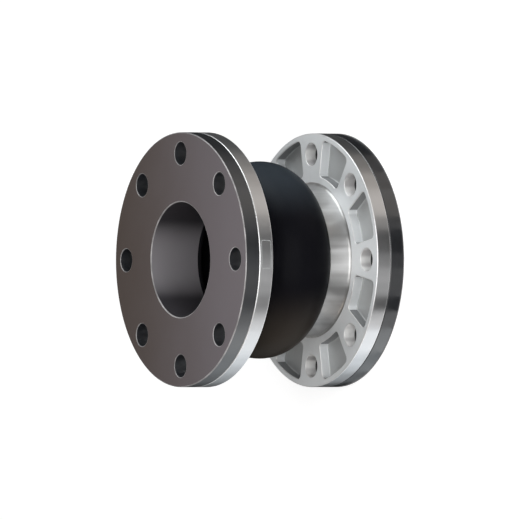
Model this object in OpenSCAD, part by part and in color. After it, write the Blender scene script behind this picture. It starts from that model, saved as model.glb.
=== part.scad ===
// Single-arch rubber expansion joint with two loose cast flanges behind its end discs.
// The pipe axis is Z. The lower end face lies on Z = 0, and one bolt hole lies on +X.

/* [Ends] */
// Outside diameter of the rubber end discs and of the metal flanges
flange_d = 210; // [200:1:240]
// Distance from one end face to the other
face_to_face = 152; // [146:1:200]
// Distance from the middle of each bolt hole to the rim
bolt_edge = 17.5; // [15:0.5:22]
// Number of bolt holes in each end
bolt_count = 8; // [4:1:12]
// Diameter of each bolt hole
bolt_hole_d = 19; // [12:0.5:24]
// Bevel on the rims and on the mouths of the bore
edge_bevel = 0.8; // [0.2:0.1:1.5]
// Bevel on the mouths of the bolt holes
hole_bevel = 0.5; // [0.2:0.1:0.5]

/* [Rubber body] */
// Diameter of the flow bore
bore_d = 95; // [80:1:105]
// Thickness of each end disc
disc_t = 13; // [8:0.5:18]
// Wall of the straight neck between an end disc and the arch
neck_wall = 8.5; // [6:0.5:11]
// Outer radius of the arch's section, about a centre on the bore
arch_r = 34; // [30:0.5:38]
// Wall of the arch
arch_wall = 8.5; // [6:0.5:14]
// Radius of the lip where the bore opens into the arch
lip_r = 6; // [2:0.5:8]
// Height of the collar around each bolt hole, which keeps the metal flange in line
collar_h = 3; // [1:0.5:4]
// Wall of each collar
collar_wall = 2.5; // [1.5:0.5:3]

/* [Cast flanges] */
// Thickness of each metal flange
flange_t = 13; // [9:0.5:18]
// Wall of the hub that sleeves the neck
hub_wall = 6.2; // [4:0.2:9]
// Radius of the fillet at the foot of the hub
hub_fillet_r = 2; // [0.5:0.5:4]
// Gap between the metal and the rubber that it sleeves
fit_gap = 0.3; // [0.1:0.1:0.6]

/* [Pockets] */
// Metal left under each pocket
pocket_floor = 4.5; // [2:0.5:7]
// Land between the hub and the pockets
pocket_land = 7.5; // [5:0.5:12]
// Wall between the pockets and the rim
rim_wall = 4.5; // [2.5:0.5:8]
// Metal left between a bolt hole and the pockets beside it
bolt_wall = 6.2; // [3:0.2:9]
// Radius of a pocket's corners
pocket_corner_r = 4; // [1:0.5:5]

/* [Hidden] */

$fn = 144;
// How far a cutter reaches past the face that it opens
past = 1;
// How far a rounding runs into the line that it is tangent to, so that the two cross cleanly
touch = 0.002;

flange_r = flange_d / 2;
bolt_circle_r = flange_r - bolt_edge;
bolt_hole_r = bolt_hole_d / 2;
bolt_pitch = 360 / bolt_count;

bore_r = bore_d / 2;
neck_r = bore_r + neck_wall;
mid_z = face_to_face / 2;
cavity_r = arch_r - arch_wall;
collar_r = bolt_hole_r + collar_wall;
collar_top = disc_t + collar_h - fit_gap;

hub_bore_r = neck_r + fit_gap;
hub_r = hub_bore_r + hub_wall;
// The hub's end is cut to the arch, and stops where its outside meets that curve
seat_r = arch_r + fit_gap;
hub_end_z = mid_z - sqrt(pow(seat_r, 2) - pow(hub_r - bore_r, 2));
flange_face_z = disc_t + flange_t;

pocket_inner_r = hub_r + pocket_land;
pocket_outer_r = flange_r - rim_wall;
pocket_half_angle = bolt_pitch / 2 - asin((bolt_hole_r + bolt_wall) / bolt_circle_r);

function polar(r, a) = [r * cos(a), r * sin(a)];

// Section of a ring from radius r1 to r2 and from height z1 to z2, with its four edges bevelled
// by b1 (inner low), b2 (outer low), b3 (outer high) and b4 (inner high).
module ring_section(r1, r2, z1, z2, b1 = 0, b2 = 0, b3 = 0, b4 = 0) {
    low_inner = b1 > 0 ? [[r1, z1 + b1], [r1 + b1, z1]] : [[r1, z1]];
    low_outer = b2 > 0 ? [[r2 - b2, z1], [r2, z1 + b2]] : [[r2, z1]];
    high_outer = b3 > 0 ? [[r2, z2 - b3], [r2 - b3, z2]] : [[r2, z2]];
    high_inner = b4 > 0 ? [[r1 + b4, z2], [r1, z2 - b4]] : [[r1, z2]];
    polygon(concat(low_inner, low_outer, high_outer, high_inner));
}

// Everything that repeats at the bolts' pitch.
module at_each_bolt(turn = 0) {
    for (i = [0:bolt_count - 1])
        rotate(i * bolt_pitch + turn) children();
}

// The lower end's own shape, and its mirror image at the upper end.
module at_both_ends() {
    children();
    at_upper_end() children();
}

module at_upper_end() {
    translate([0, 0, face_to_face]) mirror([0, 0, 1]) children();
}

// Cutter for one bolt hole, with a bevel at its mouth.
module bolt_hole(mouth_z, far_z) {
    turn = far_z > mouth_z ? 0 : 180;
    translate([bolt_circle_r, 0, mouth_z]) rotate([turn, 0, 0]) translate([0, 0, -past]) {
        cylinder(r = bolt_hole_r, h = abs(far_z - mouth_z) + 2 * past);
        cylinder(r1 = bolt_hole_r + hole_bevel + past, r2 = bolt_hole_r, h = hole_bevel + past);
    }
}

// The moulded wall, in the half plane of radius and height: two discs, the neck and the arch.
module rubber_section() {
    difference() {
        union() {
            ring_section(bore_r, neck_r, 0, face_to_face, edge_bevel, 0, 0, edge_bevel);
            disc_section();
            flip_section() disc_section();
            intersection() {
                translate([bore_r, mid_z]) circle(r = arch_r);
                translate([bore_r, mid_z - arch_r]) square([arch_r, 2 * arch_r]);
            }
        }
        translate([bore_r, mid_z]) circle(r = cavity_r);
        lip_rounding();
        flip_section() lip_rounding();
    }
}

module disc_section() {
    ring_section(neck_r - past, flange_r, 0, disc_t, 0, edge_bevel, edge_bevel, 0);
}

// The mirror image of a section about the joint's middle.
module flip_section() {
    translate([0, face_to_face]) mirror([0, 1]) children();
}

// What rounding takes off the corner where the bore meets the arch's cavity.
module lip_rounding() {
    drop = sqrt(pow(cavity_r + lip_r, 2) - pow(lip_r, 2));
    share = cavity_r / (cavity_r + lip_r);
    difference() {
        polygon([
            [bore_r - past, mid_z - drop],
            [bore_r, mid_z - drop],
            [bore_r + lip_r * share, mid_z - drop * share],
            [bore_r, mid_z],
            [bore_r - past, mid_z]
        ]);
        translate([bore_r + lip_r, mid_z - drop]) circle(r = lip_r + touch);
    }
}

// The raised ring of rubber around a bolt hole, on the disc's inner face.
module bolt_collar() {
    translate([bolt_circle_r, 0, disc_t / 2]) cylinder(r = collar_r, h = collar_top - disc_t / 2);
}

module rubber_body() {
    color("#2c2a2b") difference() {
        union() {
            rotate_extrude() rubber_section();
            at_both_ends() at_each_bolt() bolt_collar();
        }
        at_both_ends() at_each_bolt() bolt_hole(0, collar_top);
    }
}

// The cast flange in the half plane: a plate with a hub whose end is cut to the arch's flank.
module flange_section() {
    ring_section(hub_bore_r, flange_r, disc_t, flange_face_z, 0, edge_bevel, edge_bevel, 0);
    difference() {
        translate([hub_bore_r, flange_face_z - past])
            square([hub_wall, hub_end_z - flange_face_z + past]);
        translate([bore_r, mid_z]) circle(r = seat_r);
    }
    difference() {
        translate([hub_r - past, flange_face_z - past])
            square([hub_fillet_r + past, hub_fillet_r + past]);
        translate([hub_r + hub_fillet_r, flange_face_z + hub_fillet_r])
            circle(r = hub_fillet_r);
    }
}

// Plan of one pocket, centred on +X: a sector of a ring with radial sides and round corners.
module pocket_outline() {
    near_r = pocket_inner_r + pocket_corner_r;
    far_r = pocket_outer_r - pocket_corner_r;
    near_turn = pocket_half_angle - asin(pocket_corner_r / near_r);
    far_turn = pocket_half_angle - asin(pocket_corner_r / far_r);
    // A corner's circle touches the radial side at the foot of its centre on that side
    near_foot = sqrt(pow(near_r, 2) - pow(pocket_corner_r, 2));
    far_foot = sqrt(pow(far_r, 2) - pow(pocket_corner_r, 2));
    difference() {
        circle(r = pocket_outer_r);
        circle(r = pocket_inner_r);
        outside_wedge(near_turn, far_turn, near_r, far_r);
    }
    polygon([
        polar(near_r, -near_turn), polar(near_foot, -pocket_half_angle),
        polar(far_foot, -pocket_half_angle), polar(far_r, -far_turn),
        polar(far_r, far_turn), polar(far_foot, pocket_half_angle),
        polar(near_foot, pocket_half_angle), polar(near_r, near_turn)
    ]);
    for (side = [-1, 1]) {
        translate(polar(near_r, side * near_turn)) circle(r = pocket_corner_r + touch);
        translate(polar(far_r, side * far_turn)) circle(r = pocket_corner_r + touch);
    }
}

// All of the plane but a wedge along +X, whose sides pass through the corners' centres.
module outside_wedge(near_turn, far_turn, near_r, far_r) {
    reach = 2 * flange_r;
    near_in = polar(pocket_inner_r / 2, near_turn);
    near_p = polar(near_r, near_turn);
    far_p = polar(far_r, far_turn);
    far_out = polar(reach, far_turn);
    polygon([
        [-reach, 0], [0, 0], near_in, near_p, far_p, far_out, [reach, reach], [-reach, reach]
    ]);
    polygon([
        [-reach, 0], [0, 0], [near_in[0], -near_in[1]], [near_p[0], -near_p[1]],
        [far_p[0], -far_p[1]], [far_out[0], -far_out[1]], [reach, -reach], [-reach, -reach]
    ]);
}

// Recess in a flange's back face for the rubber collar around a bolt hole.
module collar_seat() {
    translate([bolt_circle_r, 0, disc_t - past])
        cylinder(r = collar_r + fit_gap, h = collar_h + past);
}

module pocket() {
    translate([0, 0, disc_t + pocket_floor])
        linear_extrude(height = flange_t - pocket_floor + past) pocket_outline();
}

module cast_flange() {
    color("silver") difference() {
        rotate_extrude() flange_section();
        at_each_bolt() {
            bolt_hole(flange_face_z, disc_t);
            collar_seat();
        }
        at_each_bolt(bolt_pitch / 2) pocket();
    }
}

module lower_flange() {
    cast_flange();
}

module upper_flange() {
    at_upper_end() cast_flange();
}

rubber_body();
upper_flange();
lower_flange();
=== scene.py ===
"""A single-arch rubber expansion joint, standing on its lower end disc.

A moulded rubber body runs from end to end, and a loose cast flange lies behind each end disc.
Sizes are in millimetres, and a finished mesh is scaled to metres.
"""

import logging
import math
from dataclasses import dataclass, field
from enum import IntEnum

import bmesh
import bpy
from bmesh.types import BMEdge, BMVert, BMesh
from bpy.types import ID, Material, Mesh, Node, NodeSocket, Object, World
from mathutils import Matrix, Vector


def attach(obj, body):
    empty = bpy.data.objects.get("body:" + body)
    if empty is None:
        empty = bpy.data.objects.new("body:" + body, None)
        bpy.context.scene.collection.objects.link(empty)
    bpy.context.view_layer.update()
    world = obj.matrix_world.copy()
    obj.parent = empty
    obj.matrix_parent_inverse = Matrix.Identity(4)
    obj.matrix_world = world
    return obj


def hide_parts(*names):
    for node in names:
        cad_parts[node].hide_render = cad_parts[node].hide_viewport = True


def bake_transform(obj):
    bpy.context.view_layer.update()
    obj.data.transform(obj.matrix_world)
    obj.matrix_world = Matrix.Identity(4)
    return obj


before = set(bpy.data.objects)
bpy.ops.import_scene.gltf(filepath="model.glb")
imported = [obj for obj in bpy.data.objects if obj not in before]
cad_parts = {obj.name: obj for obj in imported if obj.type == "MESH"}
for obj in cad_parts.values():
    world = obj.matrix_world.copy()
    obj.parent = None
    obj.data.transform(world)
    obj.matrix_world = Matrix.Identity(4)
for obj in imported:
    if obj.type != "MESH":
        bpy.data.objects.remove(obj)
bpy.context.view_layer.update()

log = logging.getLogger("expansion_joint")

METRE = 0.001  # one millimetre, in metres
FULL_TURN = 360.0
RIGHT_ANGLE = 90.0
TURN_STEPS = 192  # facets round the pipe axis
HOLE_STEPS = 48  # facets round a bolt hole
ROUND_STEPS = 3  # facets across a rounded edge
SECTION_AXIS = (0, -1, 0)  # a section lies in the X-Z plane, and turns anticlockwise about this
PIPE_AXIS = (0, 0, 1)
ROUND_PROFILE = 0.5  # a bevel with this profile is round
WELD = 1e-4  # vertices closer than this become one
NEAR = 1e-3  # how far a point may lie from where it is looked for
SHARP_FROM = 40.0  # an edge stays sharp from this angle between its faces
LEVEL = 0.999  # a face whose normal has more than this along Z lies level
TILTED = 0.05  # one with more than this isn't upright
UPRIGHT = 0.01  # and one with less than this is
NOISE_RANGE = (0.3, 0.7)  # nearly all of a noise lies between these
WHITE = (1, 1, 1, 1)
Given = NodeSocket | float | tuple  # what a node's input takes


class Rubber(IntEnum):
    """The surfaces of the rubber body, as the numbers of its material slots."""

    MOULDED = 0
    WORN_EDGE = 1
    TRIMMED = 2
    BORE = 3
    END_FACE = 4


class Metal(IntEnum):
    """The surfaces of a cast flange, as the numbers of its material slots."""

    TURNED = 0
    EDGE = 1
    FACE = 2
    BORED = 3
    POCKET_FLOOR = 4
    HUB = 5
    # The dark pocket walls, a painted shade.
    POCKET_SIDE = 6


class Sink:
    """Adds nodes to a material or world, and links them."""

    def __init__(self, owner: Material | World) -> None:
        """Starts from an empty node tree.

        Args:
            owner: The material or world whose nodes are made.
        """
        owner.use_nodes = True
        self.tree = owner.node_tree
        self.tree.nodes.clear()

    def node(self, kind: str, settings: dict | None = None, **inputs) -> Node:
        """Makes a node.

        Args:
            kind: The node's type without its ShaderNode prefix.
            settings: The node's own properties by name.
            **inputs: Socket values or the sockets to link, by socket name with _ for a space.

        Returns:
            The new node.
        """
        made = self.tree.nodes.new("ShaderNode" + kind)
        for name, value in (settings or {}).items():
            setattr(made, name, value)
        for name, value in inputs.items():
            self.feed(made, name.replace("_", " "), value)
        return made

    def feed(self, target: Node, socket: str | int, value: Given) -> None:
        """Sets one input, or links it.

        Args:
            target: The node whose input is fed.
            socket: The input's name or number.
            value: A number, a colour, a vector or another node's output.
        """
        if isinstance(value, NodeSocket):
            self.tree.links.new(value, target.inputs[socket])
        else:
            target.inputs[socket].default_value = value

    def math(self, operation: str, *values) -> NodeSocket:
        """Works out one number from others.

        Args:
            operation: The Math node's operation.
            *values: Its inputs in order.

        Returns:
            The result's socket.
        """
        made = self.node("Math", {"operation": operation})
        for number, value in enumerate(values):
            self.feed(made, number, value)
        return made.outputs[0]

    def span(self, value: Given, low: float, high: float, to_low: float = 0.0,
             to_high: float = 1.0) -> NodeSocket:
        """Maps a value smoothly from one range to another.

        Args:
            value: The socket to map.
            low: The value that gives to_low.
            high: The value that gives to_high.
            to_low: The result at low.
            to_high: The result at high.

        Returns:
            The mapped value's socket.
        """
        made = self.node("MapRange", {"interpolation_type": "SMOOTHSTEP"})
        for number, given in enumerate((value, low, high, to_low, to_high)):
            self.feed(made, number, given)
        return made.outputs[0]

    def unevenness(self, noise: NodeSocket, most: float) -> NodeSocket:
        """Returns a noise mapped to both sides of zero, at most so far from it."""
        return self.span(noise, *NOISE_RANGE, -most, most)

    def blend(self, share: Given, first: Given, second: Given) -> NodeSocket:
        """Mixes two colours.

        Args:
            share: How much of the second colour shows, from 0 to 1.
            first: The colour at 0.
            second: The colour at 1.

        Returns:
            The mixed colour's socket.
        """
        made = self.node("Mix", {"data_type": "RGBA"})
        self.feed(made, 0, share)
        self.feed(made, 6, first)
        self.feed(made, 7, second)
        return made.outputs[2]

    def noise(self, place: NodeSocket, scale: float, detail: float = 3.0) -> NodeSocket:
        """Makes a noise from 0 to 1.

        Args:
            place: The coordinates that it follows.
            scale: Its waves in a metre.
            detail: How many finer layers it has.

        Returns:
            The noise's socket.
        """
        made = self.node("TexNoise", Vector=place, Scale=scale, Detail=detail)
        return made.outputs["Fac"]

    def place(self) -> NodeSocket:
        """Returns the object coordinates."""
        return self.node("TexCoord").outputs["Object"]

    def cylinder(self, place: NodeSocket) -> tuple:
        """Splits coordinates into cylinder ones.

        Args:
            place: Object coordinates.

        Returns:
            The distance from the pipe axis, the height, and the direction from the axis.
        """
        parts = self.node("SeparateXYZ", Vector=place).outputs
        flat = self.node("CombineXYZ", X=parts[0], Y=parts[1]).outputs[0]
        length = self.node("VectorMath", {"operation": "LENGTH"})
        self.feed(length, 0, flat)
        turn = self.node("VectorMath", {"operation": "NORMALIZE"})
        self.feed(turn, 0, flat)
        return length.outputs["Value"], parts[2], turn.outputs[0]

    def bump(self, height: NodeSocket, strength: float, distance: float = 0.0001) -> NodeSocket:
        """Turns a height into a bent normal.

        Args:
            height: The height's socket.
            strength: How strongly it shows, from 0 to 1.
            distance: The height of a full step, in metres.

        Returns:
            The normal's socket.
        """
        made = self.node("Bump", Height=height, Strength=strength, Distance=distance)
        return made.outputs[0]

    def rubber_skin(self, place: NodeSocket, clouds: float = 22.0, most: float = 0.03,
                    grain: float = 1400.0, strength: float = 0.12) -> tuple:
        """Adds what all moulded rubber has: a fine grain, and slow changes of the gloss.

        Args:
            place: Object coordinates.
            clouds: The waves of the gloss in a metre.
            most: How far the gloss changes at most.
            grain: The waves of the grain in a metre.
            strength: How strongly the grain shows, from 0 to 1.

        Returns:
            The change of the roughness, and the grain's normal.
        """
        cloud = self.unevenness(self.noise(place, clouds), most)
        return cloud, self.bump(self.noise(place, grain, detail=2.0), strength)

    def surface(self, **inputs) -> None:
        """Ends the tree in one Principled shader.

        Args:
            **inputs: Its sockets, as for node().
        """
        shader = self.node("BsdfPrincipled", **inputs)
        self.node("OutputMaterial", Surface=shader.outputs[0])


@dataclass(frozen=True)
class Finish:
    """How one kind of surface looks."""

    name: str

    def material(self) -> Material:
        """Makes the material.

        Returns:
            The new material.
        """
        made = bpy.data.materials.new(self.name)
        self.lay(Sink(made))
        return made

    def lay(self, sink: Sink) -> None:
        """Adds the nodes, which each kind of finish does in its own way."""
        raise NotImplementedError


@dataclass(frozen=True)
class MouldedRubberFinish(Finish):
    """Black moulded rubber, with a painted warm glow on its -X side and a painted cool sheen on
    its +X side.
    """

    name: str = "moulded_rubber"
    black: tuple = (0.005, 0.005, 0.0065, 1)
    # The two tints below are painted light: a warm glow towards -X and a cool sheen towards +X,
    # standing in for reflections.
    painted_warm_glow: tuple = (0.034, 0.028, 0.023, 1)
    blue: tuple = (0.028, 0.034, 0.041, 1)
    painted_warm_glow_x: tuple = (-0.020, -0.075)
    painted_cool_sheen_x: tuple = (0.030, 0.078)
    gloss: float = 0.02
    roughness: float = 0.34

    def lay(self, sink: Sink) -> None:
        """Adds the painted warm glow and cool sheen on the two sides, and the skin.

        Args:
            sink: The material's nodes.
        """
        place = sink.place()
        side = sink.node("SeparateXYZ", Vector=place).outputs[0]
        # Painted warm glow towards -X, then painted cool sheen towards +X.
        color = sink.blend(sink.span(side, *self.painted_warm_glow_x), self.black, self.painted_warm_glow)
        color = sink.blend(sink.span(side, *self.painted_cool_sheen_x), color, self.blue)
        cloud, grain = sink.rubber_skin(place)
        sink.surface(Base_Color=color, Roughness=sink.math("ADD", cloud, self.roughness),
                     Specular_IOR_Level=self.gloss, Normal=grain)


@dataclass(frozen=True)
class BloomAndPaintedLightFinish(Finish):
    """Flat or bored faces greyed by the rubber's bloom, with painted light across them: paler
    towards one side along Y and darker towards the other.
    """

    name: str = "bloom_and_painted_light_rubber"
    dark: tuple = (0.076, 0.060, 0.053, 1)
    painted_lit_grey: tuple = (0.116, 0.103, 0.110, 1)
    # Across these two places along Y the colour turns from the dark tone to the paler grey:
    # painted light, as if lit from the grey side.
    painted_shade_y: float = 0.120
    painted_lit_grey_y: float = -0.090
    gloss: float = 0.02
    roughness: float = 0.50

    def lay(self, sink: Sink) -> None:
        """Adds the bloom with its painted light from side to side, whose edge drifts a little to
        and fro, and the skin.

        Args:
            sink: The material's nodes.
        """
        place = sink.place()
        cloud, grain = sink.rubber_skin(place)
        drift = sink.math("MULTIPLY", cloud, abs(self.painted_shade_y - self.painted_lit_grey_y))
        side = sink.math("ADD", sink.node("SeparateXYZ", Vector=place).outputs[1], drift)
        # Painted light: the paler grey shows towards one side along Y.
        painted_light_share = sink.span(side, self.painted_shade_y, self.painted_lit_grey_y)
        sink.surface(Base_Color=sink.blend(painted_light_share, self.dark, self.painted_lit_grey),
                     Roughness=sink.math("ADD", cloud, self.roughness),
                     Specular_IOR_Level=self.gloss, Normal=grain)


@dataclass(frozen=True)
class EdgeWearAndHighlightFinish(Finish):
    """The rounded edges of the rubber, pale and smooth: partly worn by handling and partly a
    painted highlight along each edge.
    """

    name: str = "rubber_edge_wear_and_highlight"
    # Both tones, pale on near-black rubber, are partly wear and partly a painted highlight along
    # the edges.
    dark: tuple = (0.16, 0.155, 0.155, 1)
    pale: tuple = (0.30, 0.29, 0.29, 1)
    roughness: float = 0.35
    patches: float = 60.0
    patch_range: tuple = (0.35, 0.65)
    grain: float = 1400.0
    grain_strength: float = 0.1

    def lay(self, sink: Sink) -> None:
        """Adds the worn patches and the grain.

        Args:
            sink: The material's nodes.
        """
        place = sink.place()
        wear = sink.span(sink.noise(place, self.patches), *self.patch_range)
        grain = sink.noise(place, self.grain, detail=2.0)
        sink.surface(Base_Color=sink.blend(wear, self.dark, self.pale), Roughness=self.roughness,
                     Normal=sink.bump(grain, self.grain_strength))


@dataclass(frozen=True)
class LatheFinish(Finish):
    """A surface cut on a lathe, whose fine lines round the pipe axis draw out highlights."""

    dark: tuple
    pale: tuple
    roughness: float
    stretch: float
    patches: float = 7.0
    metallic: float = 1.0
    gloss: float = 0.5
    quarter_turn: float = 0.25
    lines: float = 5200.0
    line_strength: float = 0.08
    line_depth: float = 0.00005
    unevenness: float = 0.03

    def lay(self, sink: Sink) -> None:
        """Adds the tone, which changes round the axis, and the lines.

        Args:
            sink: The material's nodes.
        """
        radius, height, turn = sink.cylinder(sink.place())
        tone = sink.span(sink.noise(turn, self.patches, detail=2.0), *NOISE_RANGE)
        along = sink.node("CombineXYZ", X=radius, Y=height).outputs[0]
        lines = sink.noise(along, self.lines, detail=1.0)
        rough = sink.math("ADD", sink.unevenness(lines, self.unevenness), self.roughness)
        tangent = sink.node("Tangent", {"direction_type": "RADIAL", "axis": "Z"}).outputs[0]
        sink.surface(Base_Color=sink.blend(tone, self.dark, self.pale), Metallic=self.metallic,
                     Roughness=rough, Specular_IOR_Level=self.gloss, Anisotropic=self.stretch,
                     Anisotropic_Rotation=self.quarter_turn, Tangent=tangent,
                     Normal=sink.bump(lines, self.line_strength, self.line_depth))


@dataclass(frozen=True)
class CastMetalFinish(Finish):
    """Metal as it left the mould, with a fine sandy skin."""

    dark: tuple
    pale: tuple
    roughness: float
    grain: float
    grain_strength: float
    metallic: float
    grain_depth: float = 0.0002
    clouds: float = 30.0
    unevenness: float = 0.04

    def lay(self, sink: Sink) -> None:
        """Adds the clouds of the casting's skin and its grain.

        Args:
            sink: The material's nodes.
        """
        place = sink.place()
        cloud = sink.noise(place, self.clouds)
        rough = sink.math("ADD", sink.unevenness(cloud, self.unevenness), self.roughness)
        color = sink.blend(sink.span(cloud, *NOISE_RANGE), self.dark, self.pale)
        grain = sink.noise(place, self.grain, detail=4.0)
        sink.surface(Base_Color=color, Metallic=self.metallic, Roughness=rough,
                     Normal=sink.bump(grain, self.grain_strength, self.grain_depth))


@dataclass(frozen=True)
class BoredMetalFinish(Finish):
    """The walls of drilled holes, with streaks along the hole where the drill ran back."""

    dark: tuple = (0.56, 0.55, 0.55, 1)
    pale: tuple = (0.92, 0.92, 0.91, 1)
    metallic: float = 0.25
    roughness: float = 0.30
    streaks: float = 120.0
    streak_range: tuple = (0.35, 0.60)
    streak_roughness: float = 0.08
    grain: float = 1500.0
    grain_strength: float = 0.1

    def lay(self, sink: Sink) -> None:
        """Adds the streaks, which don't change along the pipe axis.

        Args:
            sink: The material's nodes.
        """
        parts = sink.node("SeparateXYZ", Vector=sink.place()).outputs
        flat = sink.node("CombineXYZ", X=parts[0], Y=parts[1]).outputs[0]
        tone = sink.span(sink.noise(flat, self.streaks, detail=0.0), *self.streak_range)
        rough = sink.math("MULTIPLY", tone, self.streak_roughness)
        grain = sink.noise(flat, self.grain, detail=1.0)
        sink.surface(Base_Color=sink.blend(tone, self.dark, self.pale), Metallic=self.metallic,
                     Roughness=sink.math("ADD", rough, self.roughness),
                     Normal=sink.bump(grain, self.grain_strength))


class Outline:
    """A flat outline that grows from vertex to vertex in a bmesh."""

    def __init__(self, bm: BMesh, axis: tuple, start: tuple) -> None:
        """Sets the first vertex.

        Args:
            bm: The mesh that it grows in.
            axis: The axis that its arcs turn about.
            start: The first point.
        """
        self.bm = bm
        self.axis = axis
        self.before = set(bm.edges)
        self.first = self.last = bm.verts.new(start)

    def line(self, *points: tuple) -> "Outline":
        """Adds straight edges to one point after another.

        Args:
            *points: The points in order.

        Returns:
            The outline itself.
        """
        for point in points:
            vert = self.bm.verts.new(point)
            self.bm.edges.new((self.last, vert))
            self.last = vert
        return self

    def arc(self, centre: tuple, degrees: float, steps: int) -> "Outline":
        """Turns the last vertex about a centre.

        Args:
            centre: The arc's centre.
            degrees: The arc's angle, anticlockwise about the axis.
            steps: Its number of edges.

        Returns:
            The outline itself.
        """
        made = bmesh.ops.spin(self.bm, geom=[self.last], cent=centre, axis=self.axis,
                              angle=math.radians(degrees), steps=steps, use_merge=False)
        self.last = next(v for v in made["geom_last"] if isinstance(v, BMVert))
        return self

    def close(self) -> list:
        """Joins the last vertex to the first.

        Returns:
            The outline's edges.
        """
        if (self.last.co - self.first.co).length < WELD:
            bmesh.ops.weld_verts(self.bm, targetmap={self.last: self.first})
        else:
            self.bm.edges.new((self.last, self.first))
        return [edge for edge in self.bm.edges if edge not in self.before]


class Workshop:
    """The steps that the meshes go through."""

    @staticmethod
    def mesh(bm: BMesh, name: str) -> Mesh:
        """Makes a mesh for an object.

        Args:
            bm: The mesh as built, which is freed.
            name: The new mesh's name.

        Returns:
            The new mesh.
        """
        made = bpy.data.meshes.new(name)
        bm.to_mesh(made)
        bm.free()
        return made

    @staticmethod
    def put(name: str, data: ID) -> Object:
        """Puts a new object in the scene.

        Args:
            name: The object's name.
            data: Its mesh, light or camera.

        Returns:
            The new object.
        """
        made = bpy.data.objects.new(name, data)
        bpy.context.scene.collection.objects.link(made)
        return made

    @staticmethod
    def round_corners(bm: BMesh, corners: list, radius: float) -> None:
        """Rounds some corners of a closed outline.

        Args:
            bm: The mesh that holds nothing but the outline.
            corners: The corners' points.
            radius: The size of the rounding.
        """
        bmesh.ops.contextual_create(bm, geom=bm.edges[:])
        found = [v for v in bm.verts if any((v.co - Vector(c)).length < NEAR for c in corners)]
        bmesh.ops.bevel(bm, geom=found, offset=radius, offset_type="OFFSET", material=-1,
                        segments=ROUND_STEPS, profile=ROUND_PROFILE, affect="VERTICES")
        bmesh.ops.delete(bm, geom=bm.faces[:], context="FACES_ONLY")

    @staticmethod
    def revolve(bm: BMesh, steps: int) -> None:
        """Turns everything in a mesh once round the Z axis.

        Args:
            bm: The mesh that holds a section.
            steps: The number of facets round the axis.
        """
        bmesh.ops.spin(bm, geom=bm.verts[:] + bm.edges[:], cent=(0, 0, 0), axis=PIPE_AXIS,
                       angle=math.radians(FULL_TURN), steps=steps, use_merge=True)
        bmesh.ops.remove_doubles(bm, verts=bm.verts[:], dist=WELD)
        bmesh.ops.recalc_face_normals(bm, faces=bm.faces[:])

    @staticmethod
    def repeat(bm: BMesh, count: int, first_turn: float) -> None:
        """Sets copies of a mesh round the Z axis.

        Args:
            bm: The mesh that holds the first copy, on +X.
            count: The number of copies in all.
            first_turn: The angle that the first copy is turned to, in degrees.
        """
        source = bm.verts[:] + bm.edges[:] + bm.faces[:]
        for number in range(1, count):
            made = bmesh.ops.duplicate(bm, geom=source)["geom"]
            turn = Matrix.Rotation(math.radians(FULL_TURN * number / count), 3, "Z")
            bmesh.ops.rotate(bm, verts=[v for v in made if isinstance(v, BMVert)],
                             cent=(0, 0, 0), matrix=turn)
        bmesh.ops.rotate(bm, verts=bm.verts[:], cent=(0, 0, 0),
                         matrix=Matrix.Rotation(math.radians(first_turn), 3, "Z"))

    @staticmethod
    def flip_ends(target: Object, length: float) -> None:
        """Turns a solid into its mirror image about the joint's middle.

        Args:
            target: The solid.
            length: The joint's length from end to end.
        """
        bm = bmesh.new()
        bm.from_mesh(target.data)
        bmesh.ops.scale(bm, vec=(1, 1, -1), verts=bm.verts[:])
        bmesh.ops.translate(bm, vec=(0, 0, length), verts=bm.verts[:])
        bmesh.ops.reverse_faces(bm, faces=bm.faces[:])
        bm.to_mesh(target.data)
        bm.free()

    @staticmethod
    def solid(bm: BMesh, name: str, surface: IntEnum) -> Object:
        """Makes an object of a mesh, still in millimetres.

        Args:
            bm: The mesh, which is freed.
            name: The object's name.
            surface: The material slot of all its faces.

        Returns:
            The new object.
        """
        for face in bm.faces:
            face.material_index = surface
        return Workshop.put(name, Workshop.mesh(bm, name))

    @staticmethod
    def combine(target: Object, tool: Object, operation: str) -> None:
        """Cuts a solid with another, or joins the two, and removes the other.

        Args:
            target: The solid that changes.
            tool: The other solid.
            operation: DIFFERENCE or UNION.
        """
        step = target.modifiers.new("step", "BOOLEAN")
        step.operation, step.solver, step.object = operation, "EXACT", tool
        graph = bpy.context.evaluated_depsgraph_get()
        old, target.data = target.data, bpy.data.meshes.new_from_object(
            target.evaluated_get(graph), depsgraph=graph)
        target.modifiers.clear()
        bpy.data.objects.remove(tool)
        bpy.data.meshes.remove(old)

    @staticmethod
    def finish(target: Object) -> None:
        """Scales a solid to metres, and smooths its round faces.

        Args:
            target: The solid.
        """
        bm = bmesh.new()
        bm.from_mesh(target.data)
        bmesh.ops.dissolve_degenerate(bm, dist=WELD, edges=bm.edges[:])
        bmesh.ops.scale(bm, vec=(METRE,) * 3, verts=bm.verts[:])
        bm.to_mesh(target.data)
        bm.free()
        target.data.shade_smooth()
        target.data.set_sharp_from_angle(angle=math.radians(SHARP_FROM))
        weighted = target.modifiers.new("even_normals", "WEIGHTED_NORMAL")
        weighted.keep_sharp = True


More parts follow.
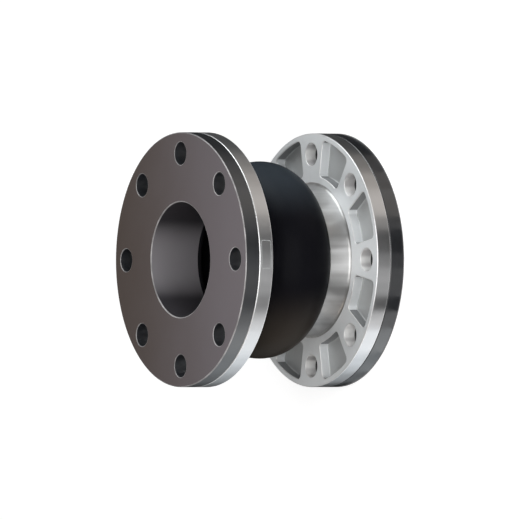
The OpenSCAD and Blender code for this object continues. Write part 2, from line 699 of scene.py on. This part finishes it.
@dataclass(frozen=True)
class EndPattern:
    """The sizes that both end discs and both flanges share."""

    rim_r: float = 105.0
    length: float = 152.0
    bolt_edge: float = 17.5
    bolt_count: int = 8
    bolt_hole_r: float = 9.5
    edge_round: float = 0.8
    hole_round: float = 0.5
    disc_t: float = 13.0
    collar_h: float = 3.0
    collar_wall: float = 2.5
    fit_gap: float = 0.3
    past: float = 1.0

    @property
    def bolt_circle_r(self) -> float:
        """Radius of the circle that the bolt holes lie on."""
        return self.rim_r - self.bolt_edge

    @property
    def collar_r(self) -> float:
        """Outer radius of the rubber collar round a bolt hole."""
        return self.bolt_hole_r + self.collar_wall

    def bolt_cutters(self, section: list, mouth_at: int, centre: tuple,
                     surface: IntEnum) -> Object:
        """Makes the cutters of one end's bolt holes from a section about each hole's axis.

        Args:
            section: The section's points as radius and height, from the axis to the axis.
            mouth_at: The number of points before the rounded mouth.
            centre: The centre of the mouth's rounding, as radius and height.
            surface: The material slot of the holes' walls.

        Returns:
            The object with all the cutters.
        """
        points = [(radius, 0, height) for radius, height in section]
        bm = bmesh.new()
        outline = Outline(bm, SECTION_AXIS, points[0])
        outline.line(*points[1:mouth_at])
        outline.arc((centre[0], 0, centre[1]), -RIGHT_ANGLE, ROUND_STEPS)
        outline.line(*points[mouth_at:])
        Workshop.revolve(bm, HOLE_STEPS)
        bmesh.ops.translate(bm, vec=(self.bolt_circle_r, 0, 0), verts=bm.verts[:])
        Workshop.repeat(bm, self.bolt_count, 0)
        return Workshop.solid(bm, "bolt_holes", surface)


@dataclass
class RubberBody:
    """The moulded body: two end discs, two necks and the arch."""

    ends: EndPattern
    bore_r: float = 47.5
    neck_wall: float = 8.5
    arch_r: float = 34.0
    arch_wall: float = 8.5
    lip_r: float = 6.0
    arch_steps: int = 40
    lip_steps: int = 8
    bend_from: float = 45.0  # between these two heights the real joint's wall gives way to a push or pull
    bend_to: float = 107.0

    @property
    def neck_r(self) -> float:
        """Outer radius of the straight necks."""
        return self.bore_r + self.neck_wall

    def section(self, bm: BMesh) -> None:
        """Draws the wall's section as one closed outline.

        Args:
            bm: The mesh to draw in.
        """
        ends = self.ends
        top, middle = ends.length, ends.length / 2
        arch_angle = math.degrees(math.acos(self.neck_wall / self.arch_r))
        foot = math.sqrt(self.arch_r ** 2 - self.neck_wall ** 2)
        cavity_r = self.arch_r - self.arch_wall
        drop = math.sqrt((cavity_r + self.lip_r) ** 2 - self.lip_r ** 2)
        lip_angle = math.degrees(math.atan2(drop, self.lip_r))
        corners = [(self.bore_r, 0, 0), (ends.rim_r, 0, 0), (ends.rim_r, 0, ends.disc_t),
                   (ends.rim_r, 0, top - ends.disc_t), (ends.rim_r, 0, top),
                   (self.bore_r, 0, top)]
        outline = Outline(bm, SECTION_AXIS, corners[0])
        outline.line(corners[1], corners[2], (self.neck_r, 0, ends.disc_t),
                     (self.neck_r, 0, middle - foot))
        outline.arc((self.bore_r, 0, middle), 2 * arch_angle, self.arch_steps)
        outline.line((self.neck_r, 0, top - ends.disc_t), *corners[3:])
        outline.line((self.bore_r, 0, middle + drop))
        outline.arc((self.bore_r + self.lip_r, 0, middle + drop), lip_angle, self.lip_steps)
        outline.arc((self.bore_r, 0, middle), -2 * lip_angle, self.arch_steps)
        outline.arc((self.bore_r + self.lip_r, 0, middle - drop), lip_angle, self.lip_steps)
        outline.close()
        Workshop.round_corners(bm, corners, ends.edge_round)

    def collars(self) -> Object:
        """Makes the raised rings round the lower end's bolt holes, still without their holes.

        Returns:
            The object with all the rings.
        """
        ends = self.ends
        height = ends.disc_t / 2 + ends.collar_h - ends.fit_gap
        bm = bmesh.new()
        bmesh.ops.create_cone(bm, cap_ends=True, segments=HOLE_STEPS, radius1=ends.collar_r,
                              radius2=ends.collar_r, depth=height)
        bmesh.ops.translate(bm, verts=bm.verts[:],
                            vec=(ends.bolt_circle_r, 0, (ends.disc_t + height) / 2))
        Workshop.repeat(bm, ends.bolt_count, 0)
        return Workshop.solid(bm, "collars", Rubber.MOULDED)

    def bolt_holes(self) -> Object:
        """Makes the cutters of the lower end's bolt holes.

        Returns:
            The object with all the cutters.
        """
        ends = self.ends
        mouth_r = ends.bolt_hole_r + ends.hole_round
        far = ends.disc_t + ends.collar_h + ends.past
        section = [(0, -ends.past), (mouth_r, -ends.past), (mouth_r, 0),
                   (ends.bolt_hole_r, far), (0, far)]
        return ends.bolt_cutters(section, mouth_at=3, centre=(mouth_r, ends.hole_round),
                                 surface=Rubber.TRIMMED)

    def build(self) -> Object:
        """Makes the whole body.

        Returns:
            The body, in metres.
        """
        bm = bmesh.new()
        self.section(bm)
        Workshop.revolve(bm, TURN_STEPS)
        body = Workshop.solid(bm, "moulded_body", Rubber.MOULDED)
        for upper in (False, True):
            for shape, operation in ((self.collars(), "UNION"), (self.bolt_holes(), "DIFFERENCE")):
                if upper:
                    Workshop.flip_ends(shape, self.ends.length)
                Workshop.combine(body, shape, operation)
        self.mark_surfaces(body)
        Workshop.finish(body)
        return body

    def mark_surfaces(self, body: Object) -> None:
        """Gives the end faces, the rims, the bore and the rounded edges their own slots.

        Args:
            body: The whole body, in millimetres.
        """
        ends = self.ends
        for face in body.data.polygons:
            depth = min(face.center.z, ends.length - face.center.z)
            radius = math.hypot(face.center.x, face.center.y)
            slope = abs(face.normal.z)
            if depth < NEAR and slope > LEVEL:
                face.material_index = Rubber.END_FACE
            elif depth < ends.edge_round and slope > TILTED:
                # Rounded edges: partly wear, partly a painted highlight.
                face.material_index = Rubber.WORN_EDGE
            elif radius > ends.rim_r - ends.edge_round and slope < LEVEL:
                face.material_index = Rubber.TRIMMED
            elif radius < self.bore_r + NEAR and slope < UPRIGHT:
                face.material_index = Rubber.BORE

    def dress(self, body: Object) -> None:
        """Gives the body its materials, hides the imported one and bakes its placement into the
        mesh.

        Args:
            body: The finished body.
        """
        finishes = {
            Rubber.MOULDED: MouldedRubberFinish(),
            Rubber.WORN_EDGE: EdgeWearAndHighlightFinish(),
            Rubber.TRIMMED: LatheFinish(
                "trimmed_rubber", (0.007, 0.008, 0.010, 1), (0.013, 0.014, 0.017, 1),
                roughness=0.36, stretch=0.30, patches=5.0, metallic=0.0, gloss=0.95),
            # On the bore the paler grey is a painted highlight along the wall on its +Y side.
            Rubber.BORE: BloomAndPaintedLightFinish(
                "bore_rubber", (0.020, 0.018, 0.021, 1), (0.165, 0.156, 0.165, 1),
                painted_shade_y=0.0340, painted_lit_grey_y=0.0485, gloss=0.4),
            # On the end faces the paler grey towards -Y is painted light from that side.
            Rubber.END_FACE: BloomAndPaintedLightFinish(),
        }
        for surface in Rubber:
            body.data.materials.append(finishes[surface].material())
        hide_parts("rubber_body")
        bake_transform(body)


@dataclass
class BarePlate:
    """The blank framed field on the upper flange's rim."""

    around: float = 23.5
    along: float = 9.6
    corner_r: float = 1.6
    line: float = 0.7
    depth: float = 0.35
    shift: float = 3.8  # how far its middle lies to +X of the rim's foremost line
    corner_steps: int = 4
    side_steps: int = 14

    def cutter(self, rim_r: float, middle_z: float) -> Object:
        """Makes the cutter of the frame's groove, bent to the rim.

        Args:
            rim_r: The rim's radius.
            middle_z: The height of the plate's middle.

        Returns:
            The cutter.
        """
        half_x, half_z = self.around / 2, self.along / 2
        corner, step = self.corner_r, (self.around - 2 * self.corner_r) / self.side_steps
        inner_x, inner_z = half_x - corner, half_z - corner
        across = [-inner_x + step * number for number in range(1, self.side_steps + 1)]
        bm = bmesh.new()
        outline = Outline(bm, SECTION_AXIS, (-inner_x, 0, -half_z))
        for side in (1, -1):
            outline.line(*[(side * x, 0, -side * half_z) for x in across])
            outline.arc((side * inner_x, 0, -side * inner_z), RIGHT_ANGLE, self.corner_steps)
            outline.line((side * half_x, 0, side * inner_z))
            outline.arc((side * inner_x, 0, side * inner_z), RIGHT_ANGLE, self.corner_steps)
        outline.close()
        field_face = bmesh.ops.contextual_create(bm, geom=bm.edges[:])["faces"]
        bmesh.ops.inset_region(bm, faces=field_face, thickness=self.line, use_even_offset=True,
                               use_boundary=True)
        bmesh.ops.delete(bm, geom=field_face, context="FACES")
        band = bmesh.ops.extrude_face_region(bm, geom=bm.faces[:])["geom"]
        outer = {v for v in band if isinstance(v, BMVert)}
        bmesh.ops.translate(bm, vec=(self.shift, 0, middle_z), verts=bm.verts[:])
        for vert in bm.verts:
            reach = rim_r + self.depth if vert in outer else rim_r - self.depth
            vert.co.y = -math.sqrt(reach ** 2 - vert.co.x ** 2)
        bmesh.ops.recalc_face_normals(bm, faces=bm.faces[:])
        return Workshop.solid(bm, "plate_frame", Metal.POCKET_FLOOR)


@dataclass
class CastFlange:
    """A cast flange: a plate with a hub, eight bolt holes and eight pockets."""

    ends: EndPattern
    rubber: RubberBody
    node: str
    body: str
    slot: str
    upper: bool
    plate: BarePlate | None = None
    thickness: float = 13.0
    hub_wall: float = 6.2
    hub_fillet_r: float = 2.0
    pocket_floor: float = 4.5
    pocket_land: float = 7.5
    rim_wall: float = 4.5
    bolt_wall: float = 6.2
    pocket_corner_r: float = 4.0
    pocket_lip: float = 0.7
    pocket_fillet: float = 1.2
    hub_round: float = 0.5
    wall_slope: float = 0.5  # a pocket's face with less than this along Z counts as its wall
    across: float = 0.7  # and a wall with more than this along Y as one that faces across, which takes the pale face as painted light while the other walls take a painted shade
    arc_steps: int = 12
    corner_steps: int = 5
    fillet_steps: int = 4

    @property
    def face_z(self) -> float:
        """Height of the plate's inner face at the lower end."""
        return self.ends.disc_t + self.thickness

    @property
    def hub_bore_r(self) -> float:
        """Inner radius of the hub."""
        return self.rubber.neck_r + self.ends.fit_gap

    @property
    def hub_r(self) -> float:
        """Outer radius of the hub."""
        return self.hub_bore_r + self.hub_wall

    def section(self, bm: BMesh) -> None:
        """Draws the flange's section at the lower end.

        Args:
            bm: The mesh to draw in.
        """
        ends, middle = self.ends, self.ends.length / 2
        arch_x = self.rubber.bore_r
        seat_r = self.rubber.arch_r + ends.fit_gap
        outer_z = middle - math.sqrt(seat_r ** 2 - (self.hub_r - arch_x) ** 2)
        seat_angle = math.degrees(math.asin((self.hub_r - arch_x) / seat_r)
                                  - math.asin((self.hub_bore_r - arch_x) / seat_r))
        rim = [(ends.rim_r, 0, ends.disc_t), (ends.rim_r, 0, self.face_z)]
        tip = (self.hub_r, 0, outer_z)
        fillet = self.hub_fillet_r
        outline = Outline(bm, SECTION_AXIS, (self.hub_bore_r, 0, ends.disc_t))
        outline.line(*rim, (self.hub_r + fillet, 0, self.face_z))
        outline.arc((self.hub_r + fillet, 0, self.face_z + fillet), -RIGHT_ANGLE,
                    self.fillet_steps)
        outline.line(tip)
        outline.arc((arch_x, 0, middle), -seat_angle, self.fillet_steps)
        outline.close()
        Workshop.round_corners(bm, rim, ends.edge_round)
        Workshop.round_corners(bm, [tip], self.hub_round)

    def pocket_loop(self, bm: BMesh, height: float, offset: float) -> list:
        """Draws a pocket's outline, centred on +X.

        Args:
            bm: The mesh to draw in.
            height: The height that it lies at.
            offset: How far it lies outside the pocket's nominal outline.

        Returns:
            The outline's edges.
        """
        ends = self.ends
        clear = (ends.bolt_hole_r + self.bolt_wall) / ends.bolt_circle_r
        half = FULL_TURN / ends.bolt_count / 2 - math.degrees(math.asin(clear))
        near_r = self.hub_r + self.pocket_land + self.pocket_corner_r
        far_r = ends.rim_r - self.rim_wall - self.pocket_corner_r
        near = half - math.degrees(math.asin(self.pocket_corner_r / near_r))
        far = half - math.degrees(math.asin(self.pocket_corner_r / far_r))
        corner_r = self.pocket_corner_r + offset

        def at(radius: float, degrees: float, centre: tuple = (0, 0)) -> tuple:
            """Returns the point at a radius and an angle from a centre."""
            angle = math.radians(degrees)
            return (centre[0] + radius * math.cos(angle), centre[1] + radius * math.sin(angle),
                    height)

        axis = (0, 0, height)
        near_turn, far_turn = half - near - RIGHT_ANGLE, far - half - RIGHT_ANGLE
        outline = Outline(bm, PIPE_AXIS, at(near_r - corner_r, -near))
        outline.arc(axis, 2 * near, self.arc_steps)
        outline.arc(at(near_r, near), near_turn, self.corner_steps)
        outline.line(at(corner_r, half + RIGHT_ANGLE, at(far_r, far)))
        outline.arc(at(far_r, far), far_turn, self.corner_steps)
        outline.arc(axis, -2 * far, self.arc_steps)
        outline.arc(at(far_r, -far), far_turn, self.corner_steps)
        outline.line(at(corner_r, -half - RIGHT_ANGLE, at(near_r, -near)))
        outline.arc(at(near_r, -near), near_turn, self.corner_steps)
        return outline.close()

    def pockets(self) -> Object:
        """Makes the cutters of the eight pockets, with a rounded lip and a filleted floor.

        Returns:
            The object with all the cutters.
        """
        floor = self.ends.disc_t + self.pocket_floor
        lip, fillet = self.pocket_lip, self.pocket_fillet
        angles = [math.radians(RIGHT_ANGLE * number / ROUND_STEPS)
                  for number in range(ROUND_STEPS + 1)]
        heights = [(floor + fillet * (1 - math.cos(angle)), fillet * (math.sin(angle) - 1))
                   for angle in angles]
        heights += [(self.face_z - lip * (1 - math.sin(angle)), lip * (1 - math.cos(angle)))
                    for angle in angles]
        heights.append((self.face_z + self.ends.past, lip))
        bm = bmesh.new()
        loops = [self.pocket_loop(bm, height, offset) for height, offset in heights]
        for low, high in zip(loops, loops[1:]):
            bmesh.ops.bridge_loops(bm, edges=low + high)
        for loop in (loops[0], loops[-1]):
            bmesh.ops.contextual_create(bm, geom=loop)
        bmesh.ops.recalc_face_normals(bm, faces=bm.faces[:])
        Workshop.repeat(bm, self.ends.bolt_count, FULL_TURN / self.ends.bolt_count / 2)
        made = Workshop.solid(bm, "pockets", Metal.POCKET_FLOOR)
        for face in made.data.polygons:
            if self.face_z - lip < face.center.z < self.face_z:
                face.material_index = Metal.EDGE
            elif abs(face.normal.z) < self.wall_slope:
                # Painted light and shade: walls facing along Y take the pale face material, as if
                # lit, and the others the dark side material, as if shaded.
                painted_lit = abs(face.normal.y) > self.across
                face.material_index = Metal.FACE if painted_lit else Metal.POCKET_SIDE
        return made

    def bolt_holes(self) -> Object:
        """Makes the cutters of the bolt holes, each with a seat for the rubber's collar.

        Returns:
            The object with all the cutters.
        """
        ends = self.ends
        seat_r = ends.collar_r + ends.fit_gap
        seat_z = ends.disc_t + ends.collar_h
        mouth_r, mouth_z = ends.bolt_hole_r + ends.hole_round, self.face_z - ends.hole_round
        low, high = ends.disc_t - ends.past, self.face_z + ends.past
        section = [(0, low), (seat_r, low), (seat_r, seat_z), (ends.bolt_hole_r, seat_z),
                   (ends.bolt_hole_r, mouth_z), (mouth_r, high), (0, high)]
        cutters = ends.bolt_cutters(section, mouth_at=5, centre=(mouth_r, mouth_z),
                                    surface=Metal.BORED)
        for face in cutters.data.polygons:
            if mouth_z < face.center.z < self.face_z:
                face.material_index = Metal.EDGE
        return cutters

    def build(self) -> Object:
        """Makes the whole flange.

        Returns:
            The flange, in metres.
        """
        bm = bmesh.new()
        self.section(bm)
        Workshop.revolve(bm, TURN_STEPS)
        flange = Workshop.solid(bm, self.slot, Metal.TURNED)
        self.mark_surfaces(flange)
        Workshop.combine(flange, self.bolt_holes(), "DIFFERENCE")
        Workshop.combine(flange, self.pockets(), "DIFFERENCE")
        if self.upper:
            Workshop.flip_ends(flange, self.ends.length)
        if self.plate:
            middle = self.ends.length - self.ends.disc_t - self.thickness / 2
            Workshop.combine(flange, self.plate.cutter(self.ends.rim_r, middle), "DIFFERENCE")
        Workshop.finish(flange)
        return flange

    def mark_surfaces(self, flange: Object) -> None:
        """Gives the plate's level faces, its rounded edges and the hub their own slots.

        Args:
            flange: The flange before its holes are cut, in millimetres.
        """
        for face in flange.data.polygons:
            radius = math.hypot(face.center.x, face.center.y)
            slope = abs(face.normal.z)
            if slope > LEVEL:
                face.material_index = Metal.FACE
            elif slope > TILTED and radius > self.ends.rim_r - self.ends.edge_round:
                face.material_index = Metal.EDGE
            elif radius < self.hub_r + self.hub_fillet_r:
                face.material_index = Metal.HUB

    def dress(self, flange: Object) -> None:
        """Gives the flange its materials, and ties it to its end.

        Args:
            flange: The finished flange.
        """
        finishes = {
            Metal.TURNED: LatheFinish(
                f"{self.slot}_turned", (0.41, 0.41, 0.415, 1), (0.47, 0.47, 0.475, 1),
                roughness=0.36, stretch=0.50),
            Metal.EDGE: CastMetalFinish(
                f"{self.slot}_edge", (0.70, 0.70, 0.70, 1), (0.76, 0.76, 0.76, 1),
                roughness=0.42, grain=900.0, grain_strength=0.05, metallic=0.7),
            Metal.FACE: CastMetalFinish(
                f"{self.slot}_face", (0.66, 0.68, 0.69, 1), (0.74, 0.76, 0.77, 1),
                roughness=0.46, grain=700.0, grain_strength=0.10, metallic=0.4),
            Metal.BORED: BoredMetalFinish(f"{self.slot}_bored"),
            Metal.POCKET_FLOOR: CastMetalFinish(
                f"{self.slot}_pocket_floor", (0.41, 0.42, 0.42, 1), (0.44, 0.45, 0.45, 1),
                roughness=0.50, grain=500.0, grain_strength=0.20, metallic=0.4),
            Metal.HUB: LatheFinish(
                f"{self.slot}_hub", (0.44, 0.435, 0.43, 1), (0.58, 0.575, 0.57, 1),
                roughness=0.38, stretch=0.85),
            # A dark copy of the cast face: painted shade for the pocket walls that don't face
            # along Y.
            Metal.POCKET_SIDE: CastMetalFinish(
                f"{self.slot}_pocket_side_painted_shade", (0.21, 0.215, 0.22, 1), (0.26, 0.265, 0.27, 1),
                roughness=0.55, grain=500.0, grain_strength=0.20, metallic=0.3),
        }
        for surface in Metal:
            flange.data.materials.append(finishes[surface].material())
        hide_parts(self.node)
        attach(flange, self.body)


@dataclass(frozen=True)
class Lamp:
    """A soft area lamp that faces the joint."""

    name: str
    azimuth: float
    elevation: float
    distance: float
    width: float
    height: float
    watts: float
    color: tuple = (1.0, 1.0, 1.0)

    def place(self, target: Vector) -> None:
        """Sets the lamp up.

        Args:
            target: The point that it faces, in metres.
        """
        light = bpy.data.lights.new(self.name, "AREA")
        light.shape = "RECTANGLE"
        light.size, light.size_y = self.width, self.height
        light.energy, light.color = self.watts, self.color
        turn, rise = math.radians(self.azimuth), math.radians(self.elevation)
        away = Vector((math.cos(turn) * math.cos(rise), math.sin(turn) * math.cos(rise),
                       math.sin(rise)))
        lamp = Workshop.put(self.name, light)
        lamp.location = target + away * self.distance
        lamp.rotation_mode = "QUATERNION"
        lamp.rotation_quaternion = (-away).to_track_quat("-Z", "Y")


@dataclass(frozen=True)
class Card:
    """A dark or pale card flat on the floor, which shows in the rims' reflections alone."""

    name: str
    first: float  # the rims mirror it from this direction off the pipe axis to the next one
    last: float
    glow: float
    color: tuple = WHITE
    foot: float = 0.106
    reach: float = 2.5
    height: float = 0.0004
    step: float = 1.0

    def place(self) -> None:
        """Lays the card as a fan of rays, each where the rim above its foot mirrors the floor."""
        bm = bmesh.new()
        tips = [bm.verts.new((radius, 0, self.height)) for radius in (self.foot, self.reach)]
        bm.edges.new(tips)
        bmesh.ops.rotate(bm, verts=tips[1:], cent=tips[0].co,
                         matrix=Matrix.Rotation(math.radians(RIGHT_ANGLE + self.first), 3, "Z"))
        bmesh.ops.rotate(bm, verts=tips, cent=(0, 0, 0),
                         matrix=Matrix.Rotation(math.radians(self.first), 3, "Z"))
        edges = bm.edges[:]
        steps = round((self.last - self.first) / self.step)
        turn = Matrix.Rotation(math.radians(self.step), 3, "Z")
        for _ in range(steps):
            made = bmesh.ops.extrude_edge_only(bm, edges=edges)["geom"]
            edges = [item for item in made if isinstance(item, BMEdge)][:1]
            verts = list(edges[0].verts)
            bmesh.ops.rotate(bm, verts=verts, cent=(0, 0, 0), matrix=turn)
            near = min(verts, key=lambda vert: vert.co.length)
            far = [vert for vert in verts if vert is not near]
            bmesh.ops.rotate(bm, verts=far, cent=near.co, matrix=turn)
        card = Workshop.put(self.name, Workshop.mesh(bm, self.name))
        card.visible_camera = card.visible_diffuse = card.visible_shadow = False
        card.visible_transmission = False
        made = bpy.data.materials.new(self.name)
        sink = Sink(made)
        shade = sink.node("Emission", Color=self.color, Strength=self.glow)
        sink.node("OutputMaterial", Surface=shade.outputs[0])
        card.data.materials.append(made)


@dataclass
class Studio:
    """The pale floor, the lamps and the camera."""

    length: float
    toward_camera: tuple = (-0.007, -0.8563, 0.5165)
    picture_up: tuple = (1, 0, 0)
    distance: float = 12.0
    lens: float = 1006.0
    sensor: float = 36.0
    clip_range: tuple = (0.1, 50)
    side_step: float = 0.0005  # to the right, in metres
    floor_size: float = 60.0
    floor_gap: float = 0.0002
    floor_color: tuple = (0.80, 0.80, 0.80, 1)
    seen_color: tuple = (0.45, 0.45, 0.45, 1)  # the floor as the background that is seen
    seen_glow: float = 0.75
    sky: float = 0.27
    lamps: list = field(default_factory=lambda: [
        Lamp("cool_side", 4, 25, 1.4, 1.3, 0.8, 14, (0.94, 0.98, 1.0)),
        Lamp("warm_side", -165, 28, 1.4, 0.25, 0.9, 1.2, (1.0, 0.86, 0.74)),
        Lamp("front_high", -94, 52, 0.50, 0.36, 0.36, 1.5),
        Lamp("front_low", -90, 17, 1.4, 1.4, 0.8, 9),
        Lamp("behind", 90, 16, 1.4, 0.9, 0.5, 0.8, (1.0, 0.96, 0.92)),
    ])
    cards: list = field(default_factory=lambda: [
        Card("card_top", -34, 30, 0.02),
        Card("card_amber", -46, -34, 0.25, (1.0, 0.92, 0.84, 1)),
        Card("card_warm", -56, -46, 0.65, (1.0, 0.92, 0.84, 1)),
        Card("card_sun", -70, -56, 0.95, (1.0, 0.94, 0.88, 1)),
        Card("card_dusk", -76, -70, 0.42, (1.0, 0.96, 0.92, 1)),
        Card("card_right", -87, -76, 0.02),
        Card("card_front", -94, -87, 0.26),
        Card("card_middle", -107, -94, 0.60),
        Card("card_low", -114, -107, 0.05),
        Card("card_white", -137, -123, 2.2, (0.95, 0.98, 1.0, 1)),
        Card("card_blue", -152, -137, 1.4, (0.90, 0.96, 1.0, 1)),
        Card("card_cool", -164, -152, 0.55, (0.90, 0.96, 1.0, 1)),
        Card("card_bottom", -210, -164, 0.02, height=0.0005),
    ])

    def camera(self) -> None:
        """Sets the camera at the photograph's viewpoint."""
        middle = Vector((0, 0, self.length / 2 * METRE))
        back = Vector(self.toward_camera).normalized()
        right = Vector(self.picture_up).cross(back).normalized()
        up = back.cross(right)
        data = bpy.data.cameras.new("camera")
        data.sensor_width, data.lens = self.sensor, self.lens
        data.clip_start, data.clip_end = self.clip_range
        camera = Workshop.put("camera", data)
        turn = Matrix((right, up, back)).transposed().to_4x4()
        camera.matrix_world = (
            Matrix.Translation(middle + back * self.distance + right * self.side_step) @ turn)
        bpy.context.scene.camera = camera

    def floor(self) -> None:
        """Lays the pale floor just under the joint."""
        bm = bmesh.new()
        bmesh.ops.create_grid(bm, x_segments=1, y_segments=1, size=self.floor_size / 2)
        bmesh.ops.translate(bm, vec=(0, 0, -self.floor_gap), verts=bm.verts[:])
        floor = Workshop.put("floor", Workshop.mesh(bm, "floor"))
        made = bpy.data.materials.new("floor")
        sink = Sink(made)
        seen = self.seen(sink)
        plain = sink.node("BsdfDiffuse", Color=self.floor_color).outputs[0]
        lifted = sink.node("BsdfDiffuse", Color=self.seen_color).outputs[0]
        glow = sink.node("Emission", Color=WHITE, Strength=self.seen_glow).outputs[0]
        both = sink.node("AddShader")
        sink.feed(both, 0, lifted)
        sink.feed(both, 1, glow)
        choice = sink.node("MixShader", Fac=seen)
        sink.feed(choice, 1, plain)
        sink.feed(choice, 2, both.outputs[0])
        sink.node("OutputMaterial", Surface=choice.outputs[0])
        floor.data.materials.append(made)

    @staticmethod
    def seen(sink: Sink) -> NodeSocket:
        """Tells rays that show the background from those that only carry light.

        Args:
            sink: The node tree to add to.

        Returns:
            The socket that is 1 for camera, glossy and transmission rays.
        """
        path = sink.node("LightPath").outputs
        found = sink.math("MAXIMUM", path["Is Camera Ray"], path["Is Glossy Ray"])
        return sink.math("MAXIMUM", found, path["Is Transmission Ray"])

    def world(self) -> None:
        """Lights the scene softly from all round."""
        made = bpy.data.worlds.new("studio")
        bpy.context.scene.world = made
        sink = Sink(made)
        back = sink.node("Background", Color=WHITE, Strength=self.sky)
        sink.node("OutputWorld", Surface=back.outputs[0])

    def build(self) -> None:
        """Sets everything up."""
        self.camera()
        self.world()
        self.floor()
        middle = Vector((0, 0, self.length / 2 * METRE))
        for lamp in self.lamps:
            lamp.place(middle)
        for card in self.cards:
            card.place()
        bpy.context.scene.view_settings.view_transform = "Standard"


def main() -> None:
    """Builds the joint piece by piece, and then the studio round it."""
    logging.basicConfig(level=logging.INFO, format="%(name)s: %(message)s")
    ends = EndPattern()
    rubber = RubberBody(ends)
    lower = CastFlange(ends, rubber, "lower_flange", "lower_end", "lower_casting", upper=False)
    upper = CastFlange(ends, rubber, "upper_flange", "upper_end", "upper_casting", upper=True,
                       plate=BarePlate())
    for part in (rubber, lower, upper):
        piece = part.build()
        part.dress(piece)
        log.info("%s: %d faces", piece.name, len(piece.data.polygons))
    Studio(ends.length).build()


if __name__ == "__main__":
    main()
